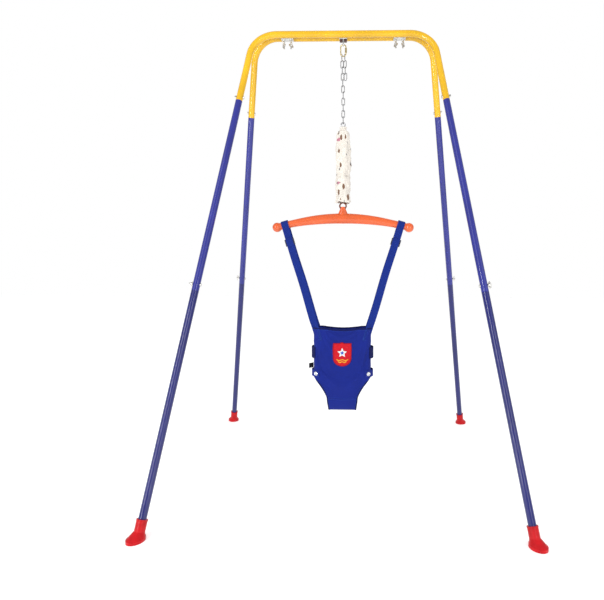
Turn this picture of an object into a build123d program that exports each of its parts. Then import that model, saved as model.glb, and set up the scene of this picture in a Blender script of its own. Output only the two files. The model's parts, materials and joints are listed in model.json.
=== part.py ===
from build123d import *
import os
from math import atan2, cos, degrees, radians, sin, sqrt, tan

# Activity jumper on a folding four-legged stand. Units are millimetres.
# Origin: on the floor under the middle of the top bar. +X along the bar, +Z up, the front faces -Y.

# Stand
bar_height = 1500.0
tube_radius = 11.0
tube_wall = 1.2
tube_spacing = 28.0
splay = radians(8)
rake = radians(18)
corner_x = 301.0
bend_radius = 88.0
junction_q = 256.0
mid_joint_q = 896.0
boot_top_q = 1526.0
tube_end_q = 1566.0
floor_q = bar_height / cos(rake)
neck_length = 45.0
fit_gap = 0.1
junction_bolt_q = junction_q - 14.0
leg_bolt_q = mid_joint_q - 20.0

# Fasteners
bolt_radius = 2.5
hole_radius = 2.6
head_radius = 4.6
head_height = 3.0
nut_clearance = 0.05
wing_hub_radius = 4.6
wing_hub_height = 6.5
wing_offset = 7.0
wing_rise = 6.0
wing_width = 7.0
wing_height = 7.6
wing_thickness = 1.8
body_gap = 0.3

# Clamps and hanger on the bar
clamp_x = 190.0
clamp_length = 40.0
stud_pitch = 24.0
saddle_fit = 0.05
saddle_half_depth = 11.5
saddle_inner = 6.0
saddle_outer = 13.5
spacer_length = 10.0
spacer_radius = 3.4
washer_radius = 6.0
washer = 1.5
stud_end_z = 1458.0
hanger_length = 26.0
hanger_bolt_pitch = 15.0
lug_hole_z = 1473.0

# Quick link and chain
link_wire = 1.9
link_half_width = 8.8
link_top_z = 1471.3
link_height = 38.2
chain_wire = 1.4
chain_half_width = 4.8
chain_link_height = 24.6
chain_pitch = 20.7
chain_turns = (90, -20, 90, -20, 90, 0, 90, 0, 90, 0, 90)
tail_links = 4
doubled_links = 6
chain_offset = 5.0
tail_lean = 0.8

# Spring, its eyes and its cloth cover
spring_radius = 15.0
spring_wire = 3.2
spring_top_z = 1178.0
spring_bottom_z = 972.0
eye_wire = 2.0
top_eye_radius = 7.0
lower_eye_radius = 11.0
lower_eye_wire = 2.5
lower_eye_z = 929.0
cover_radius = 27.0
cover_top_z = 1196.0
cover_bottom_z = 940.0
cloth = 2.0

# Spreader bar
bar_apex_z = 886.0
bar_arc_radius = 850.0
knob_x = 230.0
knob_radius = 16.5
loop_x = 201.0
loop_bar_radius = 12.5

# Harness
webbing_width = 25.0
webbing = 1.6
loop_clearance = 1.8
strap_foot_x = 96.0
strap_foot_z = 510.0
strap_foot_y = 28.0
buckle_drop = 62.0
buckle_width = 33.0
buckle_height = 24.0
buckle_thickness = 7.2
buckle_window = 4.6
seat_half_width = 106.0
seat_half_depth = 38.0
seat_corner = 37.0
seat_top_z = 505.0
binding_height = 9.0
panel = 3.0
crotch_half_width = 48.0
crotch_z = 258.0
stud_z = 345.0
tab_height = 24.0

os.makedirs("parts", exist_ok=True)


def save(builder, label):
    """Labels a finished piece and writes it."""
    builder.part.label = label
    export_step(builder.part, f"parts/{label}.step")


def frame_plane(face):
    """Plane of one U frame: origin at the bar, y up the frame. face is -1 in front, 1 behind."""
    return Plane(
        origin=(0, face * tube_spacing / 2, bar_height),
        x_dir=(1, 0, 0),
        z_dir=(0, -cos(rake), -face * sin(rake)),
    )


def leg_point(face, hand, q):
    """Point on a leg's axis, q down the frame's plane from the bar."""
    return Vector(
        hand * (corner_x + q * tan(splay)),
        face * (tube_spacing / 2 + q * sin(rake)),
        bar_height - q * cos(rake),
    )


def leg_down(face, hand):
    return Vector(hand * sin(splay), face * sin(rake) * cos(splay), -cos(rake) * cos(splay))


def leg_out(face, hand):
    return Vector(hand * cos(splay), -face * sin(rake) * sin(splay), cos(rake) * sin(splay))


def leg_plane(face, hand, q):
    """Plane across a leg, its normal pointing down the leg."""
    return Plane(
        origin=leg_point(face, hand, q), x_dir=leg_out(face, hand), z_dir=leg_down(face, hand)
    )


def bolt_plane(face, hand, q):
    """Plane on a leg's axis, its normal pointing out of the frame's side."""
    return Plane(
        origin=leg_point(face, hand, q), x_dir=leg_down(face, hand), z_dir=leg_out(face, hand)
    )


def ring(plane, outer, inner, length):
    """Adds a round tube to the part that is being built."""
    with BuildSketch(plane) as profile:
        Circle(outer)
        Circle(inner, mode=Mode.SUBTRACT)
    extrude(profile.sketch, amount=length)


def rod(plane, radius, length, mode=Mode.ADD):
    """Adds or cuts a round bar that starts on the plane."""
    with BuildSketch(plane) as profile:
        Circle(radius)
    extrude(profile.sketch, amount=length, mode=mode)


def hex_block(plane, radius, length):
    with BuildSketch(plane) as profile:
        RegularPolygon(radius, 6)
    extrude(profile.sketch, amount=length)


# Legs: blue upper and lower tubes, each with a reduced neck that plugs into the tube above


def leg_tube(label, face, hand, top_q, bottom_q, top_bolt_q, bottom_bolt_q):
    body_length = (bottom_q - top_q) / cos(splay)
    bore = tube_radius - tube_wall
    neck_radius = bore - fit_gap
    shoulder = leg_plane(face, hand, top_q)
    with BuildPart() as leg:
        rod(shoulder, tube_radius, body_length)
        rod(shoulder.offset(-neck_length), neck_radius, neck_length)
        rod(shoulder.offset(tube_wall), bore, body_length, Mode.SUBTRACT)
        rod(shoulder.offset(-neck_length), neck_radius - tube_wall, neck_length * 2, Mode.SUBTRACT)
        for bolt_q in (top_bolt_q, bottom_bolt_q):
            if bolt_q:
                with BuildSketch(bolt_plane(face, hand, bolt_q)):
                    Circle(hole_radius)
                extrude(amount=tube_radius * 2, both=True, mode=Mode.SUBTRACT)
    save(leg, label)


def top_tube(label, face):
    """Yellow inverted U: the bar, two bends and the tops of both legs."""
    end_x = corner_x + junction_q * tan(splay)
    with BuildPart() as tube:
        with BuildLine(frame_plane(face)) as path:
            FilletPolyline(
                (-end_x, -junction_q),
                (-corner_x, 0),
                (corner_x, 0),
                (end_x, -junction_q),
                radius=bend_radius,
            )
        with BuildSketch(Plane(origin=path.line @ 0, z_dir=path.line % 0)):
            Circle(tube_radius)
            Circle(tube_radius - tube_wall, mode=Mode.SUBTRACT)
        sweep()
        for hand in (-1, 1):
            with BuildSketch(bolt_plane(face, hand, junction_bolt_q)):
                Circle(hole_radius)
            extrude(amount=tube_radius * 2, both=True, mode=Mode.SUBTRACT)
    save(tube, label)


def boot(label, face, hand):
    """Red rubber boot: a sleeve with a low rim, spreading to a flat sole with its toe outward."""
    sleeve_radius = 14.5
    rim_radius = 15.2
    rim_height = 4.0
    flare_q = 1557.0
    sole_height = 8.0
    toe_shift = 6.0
    sole_length = 54.0
    sole_width = 45.0
    ground = leg_point(face, hand, floor_q)
    heading = atan2(face * sin(rake), hand * sin(splay))
    toe = Vector(cos(heading), sin(heading), 0)
    sole_plane = Plane(origin=Vector(ground.X, ground.Y, 0) + toe * toe_shift, x_dir=toe)
    flare_plane = Plane(
        origin=leg_point(face, hand, flare_q), x_dir=toe, z_dir=-leg_down(face, hand)
    )
    with BuildPart() as foot:
        with BuildSketch(sole_plane):
            Ellipse(sole_length / 2, sole_width / 2)
        extrude(amount=sole_height)
        with BuildSketch(sole_plane.offset(sole_height)):
            Ellipse(sole_length / 2 - 1, sole_width / 2 - 1)
        with BuildSketch(flare_plane):
            Circle(sleeve_radius)
        loft()
        top = leg_plane(face, hand, boot_top_q)
        rod(top, sleeve_radius, (flare_q - boot_top_q) / cos(splay) + 1)
        rod(top, rim_radius, rim_height)
        rod(
            top.offset(-1),
            tube_radius + saddle_fit,
            (tube_end_q - boot_top_q) / cos(splay) + 1.3,
            Mode.SUBTRACT,
        )
    save(foot, label)


def leg_bolts(label, face, q, shank_out, nut):
    """The two cross bolts of one frame at one joint, each with its head on the inner side."""
    with BuildPart() as bolts:
        for hand in (-1, 1):
            across = bolt_plane(face, hand, q)
            rod(across.offset(-tube_radius), bolt_radius, tube_radius + shank_out)
            rod(across.offset(-tube_radius - head_height), head_radius, head_height)
            if nut:
                hex_block(across.offset(tube_radius + 0.4), head_radius, 4.5)
    save(bolts, label)


def wing_nut(label, base):
    """Wing nut that starts on the plane and points along its normal."""
    side = Plane(origin=base.origin, x_dir=base.x_dir, z_dir=-base.y_dir)
    with BuildPart() as nut:
        rod(base, wing_hub_radius, wing_hub_height)
        with BuildSketch(side):
            with Locations((wing_offset, wing_rise), (-wing_offset, wing_rise)):
                RectangleRounded(wing_width, wing_height, 2.6)
        extrude(amount=wing_thickness / 2, both=True)
        rod(base.offset(-1), bolt_radius + nut_clearance, 3 * wing_hub_height, Mode.SUBTRACT)
    save(nut, label)


for end, face in (("front", -1), ("rear", 1)):
    top_tube(f"{end}_top_tube", face)
    leg_bolts(f"{end}_junction_bolts", face, junction_bolt_q, 17.0, True)
    leg_bolts(f"{end}_leg_bolts", face, leg_bolt_q, 22.5, False)
    for name, hand in (("left", -1), ("right", 1)):
        leg_tube(
            f"{end}_{name}_upper_leg", face, hand, junction_q, mid_joint_q, junction_bolt_q, leg_bolt_q
        )
        leg_tube(f"{end}_{name}_lower_leg", face, hand, mid_joint_q, tube_end_q, leg_bolt_q, None)
        boot(f"{end}_{name}_foot", face, hand)
        wing_nut(
            f"{end}_{name}_leg_wing_nut",
            bolt_plane(face, hand, leg_bolt_q).offset(tube_radius + 2 * body_gap),
        )


# Clamps that hold the two bars side by side, and the hanger in the middle


def saddle(x_centre, length, above, bolt_pitch):
    """Adds a block that is grooved for both bars, above or below them, with two bolt holes."""
    side = 1 if above else -1
    mid = side * (saddle_inner + saddle_outer) / 2
    with BuildSketch(Plane.YZ.offset(x_centre - length / 2)) as profile:
        with Locations((0, bar_height + mid)):
            RectangleRounded(2 * saddle_half_depth, saddle_outer - saddle_inner, 2)
        with Locations((-tube_spacing / 2, bar_height), (tube_spacing / 2, bar_height)):
            Circle(tube_radius + saddle_fit, mode=Mode.SUBTRACT)
    extrude(profile.sketch, amount=length)
    with BuildSketch(Plane.XY.offset(bar_height - 2 * saddle_outer)) as holes:
        with Locations((x_centre - bolt_pitch / 2, 0), (x_centre + bolt_pitch / 2, 0)):
            Circle(hole_radius)
    extrude(holes.sketch, amount=4 * saddle_outer, mode=Mode.SUBTRACT)


saddle_top_z = bar_height + saddle_outer
saddle_bottom_z = bar_height - saddle_outer
spacer_top_z = saddle_bottom_z - washer
wing_top_z = spacer_top_z - spacer_length - body_gap

with BuildPart() as upper_saddles:
    for hand in (-1, 1):
        saddle(hand * clamp_x, clamp_length, True, stud_pitch)
save(upper_saddles, "clamp_upper_saddles")

with BuildPart() as lower_saddles:
    for hand in (-1, 1):
        saddle(hand * clamp_x, clamp_length, False, stud_pitch)
save(lower_saddles, "clamp_lower_saddles")

for name, hand in (("left", -1), ("right", 1)):
    for place, step in (("outer", hand), ("inner", -hand)):
        stud = Vector(hand * clamp_x + step * stud_pitch / 2, 0, wing_top_z)
        wing_nut(
            f"{name}_clamp_{place}_wing_nut",
            Plane(origin=stud, x_dir=(cos(step), sin(step), 0), z_dir=(0, 0, -1)),
        )

stud_places = [(s * clamp_x + t * stud_pitch / 2, 0) for s in (-1, 1) for t in (-1, 1)]
hanger_places = [(-hanger_bolt_pitch / 2, 0), (hanger_bolt_pitch / 2, 0)]

with BuildPart() as clamp_studs:
    with BuildSketch(Plane.XY.offset(stud_end_z)):
        with Locations(*stud_places):
            Circle(bolt_radius)
    extrude(amount=saddle_top_z - stud_end_z)
    with BuildSketch(Plane.XY.offset(saddle_top_z)):
        with Locations(*stud_places):
            RegularPolygon(head_radius, 6)
    extrude(amount=head_height)
save(clamp_studs, "clamp_studs")

with BuildPart() as clamp_washers:
    with BuildSketch(Plane.XY.offset(spacer_top_z)):
        with Locations(*stud_places):
            Circle(washer_radius)
            Circle(hole_radius, mode=Mode.SUBTRACT)
    extrude(amount=washer)
save(clamp_washers, "clamp_washers")

with BuildPart() as clamp_spacers:
    with BuildSketch(Plane.XY.offset(spacer_top_z - spacer_length)):
        with Locations(*stud_places):
            Circle(spacer_radius)
            Circle(hole_radius, mode=Mode.SUBTRACT)
    extrude(amount=spacer_length)
save(clamp_spacers, "clamp_spacers")

with BuildPart() as hanger_saddle:
    saddle(0, hanger_length, True, hanger_bolt_pitch)
save(hanger_saddle, "hanger_saddle")

# The lower hanger saddle carries a narrow lug with the hole that the quick link hangs in.
lug_half_thickness = 2.2
lug_radius = 8.0
lug_hole_radius = 4.5
with BuildPart() as hanger_lug:
    saddle(0, hanger_length, False, hanger_bolt_pitch)
    with BuildSketch(Plane.YZ.offset(-lug_half_thickness)):
        with Locations((0, lug_hole_z)):
            Circle(lug_radius)
        with Locations((0, (lug_hole_z + saddle_bottom_z + 1) / 2)):
            Rectangle(2 * lug_radius, saddle_bottom_z + 1 - lug_hole_z)
        with Locations((0, lug_hole_z)):
            Circle(lug_hole_radius, mode=Mode.SUBTRACT)
    extrude(amount=2 * lug_half_thickness)
save(hanger_lug, "hanger_lug")

hanger_nut_height = 7.0
with BuildPart() as hanger_bolts:
    with BuildSketch(Plane.XY.offset(saddle_bottom_z - hanger_nut_height + 1)):
        with Locations(*hanger_places):
            Circle(bolt_radius)
    extrude(amount=saddle_top_z - saddle_bottom_z + hanger_nut_height - 1)
    with BuildSketch(Plane.XY.offset(saddle_top_z)):
        with Locations(*hanger_places):
            RegularPolygon(head_radius, 6)
    extrude(amount=head_height)
save(hanger_bolts, "hanger_bolts")

with BuildPart() as hanger_nuts:
    with BuildSketch(Plane.XY.offset(saddle_bottom_z - hanger_nut_height)):
        with Locations(*hanger_places):
            Circle(4.9)
    extrude(amount=hanger_nut_height)
    with BuildSketch(Plane.XY.offset(saddle_bottom_z - hanger_nut_height + 1)):
        with Locations(*hanger_places):
            Circle(bolt_radius + 0.02)
    extrude(amount=hanger_nut_height, mode=Mode.SUBTRACT)
save(hanger_nuts, "hanger_nuts")

# Oval quick link, open on one side where its screw sleeve closes it
link_straight = link_height - 2 * link_half_width
link_bottom_z = link_top_z - link_height
link_middle_z = link_bottom_z + link_height / 2
link_opening = 8.0
with BuildPart() as quick_link:
    with BuildLine(Plane.XZ) as link_path:
        upper = link_middle_z + link_straight / 2
        lower = link_middle_z - link_straight / 2
        Line((link_half_width, link_middle_z + link_opening / 2), (link_half_width, upper))
        ThreePointArc((link_half_width, upper), (0, link_top_z), (-link_half_width, upper))
        Line((-link_half_width, upper), (-link_half_width, lower))
        ThreePointArc((-link_half_width, lower), (0, link_bottom_z), (link_half_width, lower))
        Line((link_half_width, lower), (link_half_width, link_middle_z - link_opening / 2))
    with BuildSketch(Plane(origin=link_path.line @ 0, z_dir=link_path.line % 0)):
        Circle(link_wire)
    sweep()
save(quick_link, "quick_link")

sleeve_length = 15.0
with BuildPart() as link_sleeve:
    with BuildSketch(Plane.XY.offset(link_middle_z - sleeve_length / 2)):
        with Locations((link_half_width, 0)):
            RegularPolygon(3.4, 6)
            Circle(link_wire + nut_clearance, mode=Mode.SUBTRACT)
    extrude(amount=sleeve_length)
save(link_sleeve, "link_sleeve")

# Chain: one link, repeated. The first links are doubled by the spare tail of the chain.
chain_half_straight = chain_link_height / 2 - chain_half_width
with BuildPart() as one_link:
    for sign in (-1, 1):
        with BuildSketch(Plane.XY.offset(-chain_half_straight)):
            with Locations((sign * chain_half_width, 0)):
                Circle(chain_wire)
        extrude(amount=2 * chain_half_straight)
        with BuildSketch(Plane.XY.offset(sign * chain_half_straight)):
            with Locations((chain_half_width, 0)):
                Circle(chain_wire)
        revolve(
            axis=Axis((0, 0, sign * chain_half_straight), (0, 1, 0)), revolution_arc=-sign * 180
        )

first_link_z = link_bottom_z + 6.5 - chain_link_height / 2
lean = chain_offset / doubled_links
main_places = []
for i, turn in enumerate(chain_turns):
    x = min(0, -chain_offset + lean * i)
    main_places.append(Location((x, 0, first_link_z - chain_pitch * i), (0, 0, turn)))
tail_places = []
for i, turn in enumerate(chain_turns[:tail_links]):
    x = chain_offset + tail_lean * i
    tail_places.append(Location((x, 0, first_link_z - chain_pitch * i), (0, 0, turn)))

with BuildPart() as chain:
    with Locations(*main_places):
        add(one_link.part)
save(chain, "chain")

with BuildPart() as chain_tail:
    with Locations(*tail_places):
        add(one_link.part)
save(chain_tail, "chain_tail")

# Spring with an eye at each end, and its cloth cover, gathered at the top and open at the bottom
last_link_bottom = first_link_z - chain_pitch * (len(chain_turns) - 1) - chain_link_height / 2
top_eye_z = last_link_bottom + chain_wire + eye_wire + body_gap - top_eye_radius
coil_bore = spring_radius - spring_wire
plug_radius = coil_bore - body_gap
plug_height = 6.0

with BuildPart() as spring_top_eye:
    with Locations(Location((0, 0, top_eye_z), (90, 0, 0))):
        Torus(top_eye_radius, eye_wire)
    rod(Plane.XY.offset(spring_top_z - 1), eye_wire + 0.5, top_eye_z - top_eye_radius - spring_top_z + 1)
    rod(Plane.XY.offset(spring_top_z - plug_height), plug_radius, plug_height)
save(spring_top_eye, "spring_top_eye")

with BuildPart() as spring:
    ring(
        Plane.XY.offset(spring_bottom_z), spring_radius, coil_bore, spring_top_z - spring_bottom_z
    )
save(spring, "spring")

with BuildPart() as spring_bottom_eye:
    with Locations(Location((0, 0, lower_eye_z), (90, 0, 0))):
        Torus(lower_eye_radius, lower_eye_wire)
    rod(
        Plane.XY.offset(lower_eye_z + lower_eye_radius),
        lower_eye_wire,
        spring_bottom_z - lower_eye_z - lower_eye_radius + 1,
    )
    rod(Plane.XY.offset(spring_bottom_z), plug_radius, plug_height)
save(spring_bottom_eye, "spring_bottom_eye")

cover_neck = 11.0
cover_shoulder = 34.0
with BuildPart() as spring_cover:
    with BuildSketch(Plane.XZ):
        with BuildLine():
            Polyline(
                (cover_radius, cover_bottom_z),
                (cover_radius, cover_top_z - cover_shoulder),
                (cover_neck, cover_top_z),
                (cover_neck - cloth, cover_top_z),
                (cover_radius - cloth, cover_top_z - cover_shoulder),
                (cover_radius - cloth, cover_bottom_z),
                close=True,
            )
        make_face()
    revolve(axis=Axis.Z)
save(spring_cover, "spring_cover")


# Spreader bar: an arched grip-like bar with a round knob at each end. The spring's lower eye passes
# through the neck on top, in a hole that is curved like the eye.


def bar_z(x):
    return bar_apex_z - x * x / (2 * bar_arc_radius)


neck_root_z = bar_apex_z + 6.0
neck_top_z = bar_apex_z + 40.0
bar_sections = ((0, 14.0, 18.0), (70, 13.4, 16.6), (130, 12.8, 14.4), (180, 12.5, 12.5), (222, 12.5, 12.5))

with BuildPart() as half_bar:
    for x, depth, height in bar_sections:
        section = Plane(origin=(x, 0, bar_z(x)), x_dir=(0, 1, 0), z_dir=(1, 0, -x / bar_arc_radius))
        with BuildSketch(section):
            Ellipse(depth, height)
    loft()
with BuildPart() as spreader_bar:
    add(half_bar.part)
    add(mirror(half_bar.part, Plane.YZ, mode=Mode.PRIVATE))
    with Locations((-knob_x, 0, bar_z(knob_x)), (knob_x, 0, bar_z(knob_x))):
        Sphere(knob_radius)
    with BuildSketch(Plane.XY.offset(neck_root_z)):
        Ellipse(21, 11)
    with BuildSketch(Plane.XY.offset(neck_top_z)):
        Ellipse(6.5, 6)
    loft()
    with Locations(Location((0, 0, lower_eye_z), (90, 0, 0))):
        Torus(lower_eye_radius, lower_eye_wire + body_gap, mode=Mode.SUBTRACT)
save(spreader_bar, "spreader_bar")

# Straps: each loops over the bar and comes down to the front and the rear panel
loop_z = bar_z(loop_x)
loop_inner = loop_bar_radius + loop_clearance
loop_middle = loop_inner + webbing / 2
strap_run = sqrt((loop_x - strap_foot_x) ** 2 + (loop_z - strap_foot_z) ** 2)
strap_lean = atan2(loop_x - strap_foot_x, loop_z - strap_foot_z)

for name, hand in (("left", -1), ("right", 1)):
    strap_up = Vector(hand * sin(strap_lean), 0, cos(strap_lean))
    strap_across = Vector(0, 1, 0).cross(strap_up)
    strap_plane = Plane(origin=(hand * loop_x, 0, loop_z), x_dir=(0, 1, 0), z_dir=strap_across)
    with BuildPart() as strap:
        with BuildSketch(strap_plane):
            with BuildLine():
                Line((-strap_foot_y, -strap_run), (-loop_middle, 0))
                ThreePointArc((-loop_middle, 0), (0, loop_middle), (loop_middle, 0))
                Line((loop_middle, 0), (strap_foot_y, -strap_run))
            trace(line_width=webbing)
        extrude(amount=webbing_width / 2, both=True)
    save(strap, f"{name}_strap")

    front_top = strap_plane.from_local_coords(Vector(-loop_middle, 0, 0))
    front_foot = strap_plane.from_local_coords(Vector(-strap_foot_y, -strap_run, 0))
    strap_down = (front_foot - front_top).normalized()
    buckle_plane = Plane(
        origin=front_top + strap_down * buckle_drop, x_dir=strap_across, z_dir=strap_down
    )
    print(f"{name} buckle slides along", [round(v, 5) for v in strap_down])
    with BuildPart() as buckle:
        with BuildSketch(buckle_plane.offset(-buckle_height / 2)):
            RectangleRounded(buckle_width, buckle_thickness, 2.2)
        extrude(amount=buckle_height)
        with BuildSketch(buckle_plane.offset(-buckle_height)):
            Rectangle(webbing_width + 1.2, webbing + 1.0)
        extrude(amount=2 * buckle_height, mode=Mode.SUBTRACT)
        face_plane = Plane(origin=buckle_plane.origin, x_dir=buckle_plane.x_dir, z_dir=buckle_plane.y_dir)
        with BuildSketch(face_plane):
            with Locations((0, 5.4), (0, -5.4)):
                RectangleRounded(webbing_width - 1, buckle_window, 1)
        extrude(amount=buckle_thickness, both=True, mode=Mode.SUBTRACT)
    save(buckle, f"{name}_buckle")


# Seat: front and rear panels, a crotch sling, side elastics, tabs with press studs, bindings


def seat_shell(low, high, grow, thickness):
    """Adds a wall that follows the seat's rounded waist, grow outside its outer face."""
    with BuildSketch(Plane.XY.offset(low)) as profile:
        RectangleRounded(
            2 * (seat_half_width + grow), 2 * (seat_half_depth + grow), seat_corner + grow
        )
        RectangleRounded(
            2 * (seat_half_width + grow - thickness),
            2 * (seat_half_depth + grow - thickness),
            seat_corner + grow - thickness,
            mode=Mode.SUBTRACT,
        )
    extrude(profile.sketch, amount=high - low)


def keep_box(low, high):
    """Keeps what lies between two corners of the part that is being built."""
    size = [b - a for a, b in zip(low, high)]
    centre = [(a + b) / 2 for a, b in zip(low, high)]
    with Locations(tuple(centre)):
        Box(*size, mode=Mode.INTERSECT)


panel_top_z = seat_top_z - binding_height
panel_waist_z = 336.0
panel_edge_x = 101.0
far = 200.0

for end, face in (("front", -1), ("rear", 1)):
    with BuildPart() as seat_panel:
        seat_shell(crotch_z, panel_top_z, 0, panel)
        keep_box((-far, min(0, face * far), 0), (far, max(0, face * far), 2 * seat_top_z))
        with BuildSketch(Plane.XZ):
            with BuildLine():
                Polyline(
                    (-crotch_half_width - 6, crotch_z),
                    (crotch_half_width + 6, crotch_z),
                )
                ThreePointArc(
                    (crotch_half_width + 6, crotch_z),
                    (crotch_half_width + 22, 298),
                    (panel_edge_x, panel_waist_z),
                )
                Polyline(
                    (panel_edge_x, panel_waist_z),
                    (panel_edge_x, panel_top_z),
                    (-panel_edge_x, panel_top_z),
                    (-panel_edge_x, panel_waist_z),
                )
                ThreePointArc(
                    (-panel_edge_x, panel_waist_z),
                    (-crotch_half_width - 22, 298),
                    (-crotch_half_width - 6, crotch_z),
                )
            make_face()
        extrude(amount=far, both=True, mode=Mode.INTERSECT)
    save(seat_panel, f"seat_{end}_panel")

with BuildPart() as bindings:
    seat_shell(panel_top_z, seat_top_z, 0.8, panel + 1.6)
    keep_box((-panel_edge_x, -far, 0), (panel_edge_x, far, 2 * seat_top_z))
save(bindings, "seat_bindings")

with BuildPart() as crotch_sling:
    with BuildSketch(Plane.YZ.offset(-crotch_half_width)):
        with Locations((0, crotch_z)):
            Circle(seat_half_depth)
            Circle(seat_half_depth - panel, mode=Mode.SUBTRACT)
        with Locations((0, crotch_z + far / 2)):
            Rectangle(far, far, mode=Mode.SUBTRACT)
    extrude(amount=2 * crotch_half_width)
save(crotch_sling, "crotch_sling")

elastic_low = 398.0
elastic_high = 438.0
elastic_reach = 94.0
tab_reach = 78.0
tab_thickness = 1.6
shell_centre = Vector(seat_half_width - seat_corner, -(seat_half_depth - seat_corner), 0)
stud_x = 91.0
stud_radius = 7.5


def side_bands(label, low, high, reach):
    """Writes the two bands that join the panels round the sides of the seat."""
    grow = body_gap + tab_thickness
    with BuildPart() as bands:
        seat_shell(low, high, grow, tab_thickness)
        with Locations((0, 0, (low + high) / 2)):
            Box(2 * reach, far, high - low, mode=Mode.SUBTRACT)
    save(bands, label)


side_bands("side_elastics", elastic_low, elastic_high, elastic_reach)
side_bands("stud_tabs", stud_z - tab_height / 2, stud_z + tab_height / 2, tab_reach)

outer_radius = seat_corner + body_gap + tab_thickness
inner_radius = seat_corner - panel
with BuildPart() as stud_caps:
    for hand in (-1, 1):
        run = stud_x - shell_centre.X
        normal = Vector(hand * run, -sqrt(outer_radius**2 - run**2), 0).normalized()
        centre = Vector(hand * shell_centre.X, shell_centre.Y, stud_z) + normal * (outer_radius + 0.6)
        cap_plane = Plane(origin=centre, z_dir=normal)
        rod(cap_plane, stud_radius, 2.0)
        rod(cap_plane.offset(2.0), stud_radius - 2.5, 0.8)
save(stud_caps, "press_stud_caps")

with BuildPart() as stud_sockets:
    for hand in (-1, 1):
        run = stud_x - shell_centre.X
        normal = Vector(hand * run, -sqrt(outer_radius**2 - run**2), 0).normalized()
        centre = Vector(hand * shell_centre.X, shell_centre.Y, stud_z) + normal * (inner_radius - 1.0)
        rod(Plane(origin=centre, z_dir=-normal), stud_radius - 1, 2.0)
save(stud_sockets, "press_stud_sockets")

patch_width = 62.0
patch_height = 80.0
patch_z = 413.0
patch = 1.2
with BuildPart() as emblem_patch:
    with BuildSketch(Plane.XZ.offset(seat_half_depth)):
        with BuildLine():
            half = patch_width / 2
            top = patch_z + patch_height / 2
            shoulder_z = patch_z - patch_height * 0.16
            foot_z = patch_z - patch_height / 2
            Line((-half, top), (half, top))
            Line((half, top), (half, shoulder_z))
            ThreePointArc((half, shoulder_z), (half * 0.72, foot_z + 12), (0, foot_z))
            ThreePointArc((0, foot_z), (-half * 0.72, foot_z + 12), (-half, shoulder_z))
            Line((-half, shoulder_z), (-half, top))
        make_face()
    extrude(amount=patch)
save(emblem_patch, "emblem_patch")

label_z = 372.0
label_size = (11.0, 1.6, 17.0)
with BuildPart() as side_label:
    with Locations((-seat_half_width - 7.0, 0, label_z)):
        Box(*label_size)
save(side_label, "side_label")

print("strap lean", round(degrees(strap_lean), 3), "loop z", round(loop_z, 3))
print("quick link arc centre z", round(link_bottom_z + link_half_width, 3))
print("quick link sleeve z", round(link_middle_z, 3))
print("top eye z", round(top_eye_z, 3))
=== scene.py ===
import json
import random
from math import asin, atan2, cos, exp, hypot, pi, radians, sin, sqrt

import bmesh
import bpy
from mathutils import Matrix, Vector, noise
from mathutils.bvhtree import BVHTree


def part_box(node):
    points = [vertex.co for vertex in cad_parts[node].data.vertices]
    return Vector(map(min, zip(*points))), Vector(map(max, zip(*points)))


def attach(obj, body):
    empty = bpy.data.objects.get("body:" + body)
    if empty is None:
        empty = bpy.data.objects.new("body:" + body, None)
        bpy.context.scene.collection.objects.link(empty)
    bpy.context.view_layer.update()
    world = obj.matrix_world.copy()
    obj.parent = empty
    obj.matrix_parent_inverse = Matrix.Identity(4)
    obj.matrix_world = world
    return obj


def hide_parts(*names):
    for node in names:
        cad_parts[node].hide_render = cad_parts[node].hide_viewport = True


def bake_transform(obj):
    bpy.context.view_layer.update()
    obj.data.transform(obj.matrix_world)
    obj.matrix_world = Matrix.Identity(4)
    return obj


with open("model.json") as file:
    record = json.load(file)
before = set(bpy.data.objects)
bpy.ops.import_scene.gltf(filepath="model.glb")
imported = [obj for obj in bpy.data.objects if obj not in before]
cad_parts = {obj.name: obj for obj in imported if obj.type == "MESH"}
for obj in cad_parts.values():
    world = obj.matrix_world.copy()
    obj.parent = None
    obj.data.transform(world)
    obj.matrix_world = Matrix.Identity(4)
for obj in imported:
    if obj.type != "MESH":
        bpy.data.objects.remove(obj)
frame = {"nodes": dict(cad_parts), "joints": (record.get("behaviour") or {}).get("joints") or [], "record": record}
scene = bpy.context.scene
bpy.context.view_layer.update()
nodes = frame["nodes"]
MM = 0.001
SIDES = (("left", -1), ("right", 1))
SHARP_ANGLE = radians(35)

# Places, worked out from the CAD nodes
seat_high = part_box("seat_front_panel")[1]
crotch_low, crotch_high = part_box("crotch_sling")
binding_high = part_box("seat_bindings")[1]
patch_low, patch_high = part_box("emblem_patch")
elastic_low, elastic_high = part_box("side_elastics")
tab_low, tab_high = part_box("stud_tabs")
label_low, label_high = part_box("side_label")
spring_low, spring_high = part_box("spring")
cover_low, cover_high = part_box("spring_cover")

SEAT_TOP = binding_high.z
SEAT_DEPTH = (crotch_high.y - crotch_low.y) / 2
SEAT_EDGE = seat_high.x
CROTCH_HALF = crotch_high.x
CROTCH_Z = crotch_high.z
SEAT_CORNER = 37 * MM
SEAT_HALF = 106 * MM
LEG_HOLE_TOP = 336 * MM
STUD_Z = (tab_low.z + tab_high.z) / 2
STUD_X = 91 * MM


def smoothstep(value):
    t = max(0.0, min(1.0, value))
    return t * t * (3 - 2 * t)


def spread(index, count):
    """From -1 to 1 as index runs from the first to the last of count."""
    return 2 * index / (count - 1) - 1


# -------- materials

# A wave texture at scale 1 repeats at this distance
WAVE_REPEAT = 0.314


def node_tree(name, **values):
    """A new material and its Principled shader, with constant values set on the shader's sockets."""
    material = bpy.data.materials.new(name)
    material.use_nodes = True
    shader = material.node_tree.nodes["Principled BSDF"]
    for key, value in values.items():
        socket = shader.inputs[key.replace("_", " ")]
        socket.default_value = (*value, 1) if isinstance(value, tuple) else value
    return material, shader


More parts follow.
